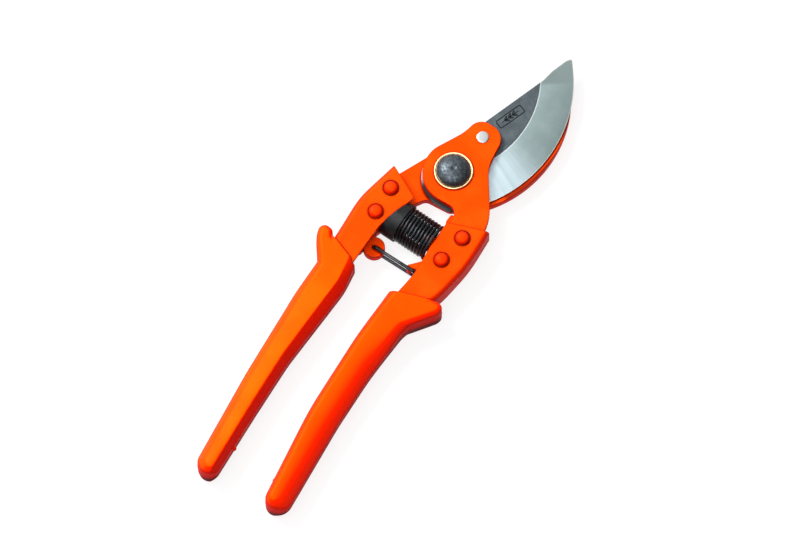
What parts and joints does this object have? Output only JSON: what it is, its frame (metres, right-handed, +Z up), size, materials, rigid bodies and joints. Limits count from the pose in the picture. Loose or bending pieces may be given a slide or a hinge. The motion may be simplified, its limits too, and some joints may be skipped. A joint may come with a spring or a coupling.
{
  "type": "bypass pruner",
  "caption": "One-hand bypass pruner, closed and latched: curved blade passing a hooked plate, domed pivot bolt, coil spring between the handles, wire catch and moulded grips.",
  "frame": {"origin": "on the pivot axis, in the plane the closed tool lies on: the flat end of the pivot bolt", "axes": "+Y runs along the tool to the blade's tip, +Z points up from the plane it lies on along the pivot axis, +X is the side the cutting edge faces"},
  "size_m": [0.0562, 0.213, 0.0161],
  "materials": {
    "orange_paint": "orange stoved enamel, satin",
    "orange_grip": "orange dipped vinyl, soft sheen",
    "blade_steel": "forged flat with a ground bevel",
    "bright_steel": "bright zinc",
    "black_steel": "black oxide, lightly oiled",
    "spring_steel": "dark phosphated wire",
    "brass": "polished rim",
    "black_plastic": "moulded, matt"
  },
  "bodies": {
    "hook_arm": {"hook_plate": "orange_paint", "left_channel": "orange_paint", "left_rivets": "orange_paint", "left_spacers": "bright_steel", "left_grip": "orange_grip", "pivot_bolt": "black_steel", "pivot_bush": "bright_steel", "brass_washer": "brass", "pivot_nut": "black_steel", "spring_cup": "black_plastic", "return_spring": "spring_steel"},
    "blade_arm": {"cutting_blade": "blade_steel", "head_plate": "orange_paint", "blade_rivet": "bright_steel", "right_channel": "orange_paint", "right_rivets": "orange_paint", "right_spacers": "bright_steel", "latch_plate": "orange_paint", "right_grip": "orange_grip", "spring_seat": "black_plastic"},
    "catch": {"catch_wire": "spring_steel"}
  },
  "joints": [
    {"name": "pivot", "type": "hinge", "parent": "hook_arm", "child": "blade_arm", "pos_m": [0, 0, 0], "axis": [0, 0, 1], "range_deg": [0, 25], "deforming": ["return_spring"]},
    {"name": "catch_swing", "type": "hinge", "parent": "hook_arm", "child": "catch", "pos_m": [-0.0082, -0.04, 0.005], "axis": [0, 0, 1], "range_deg": [-80, 0]}
  ],
  "couplings": [
    {"joint": "catch_swing", "follows": "pivot", "ratio": -3.2}
  ]
}
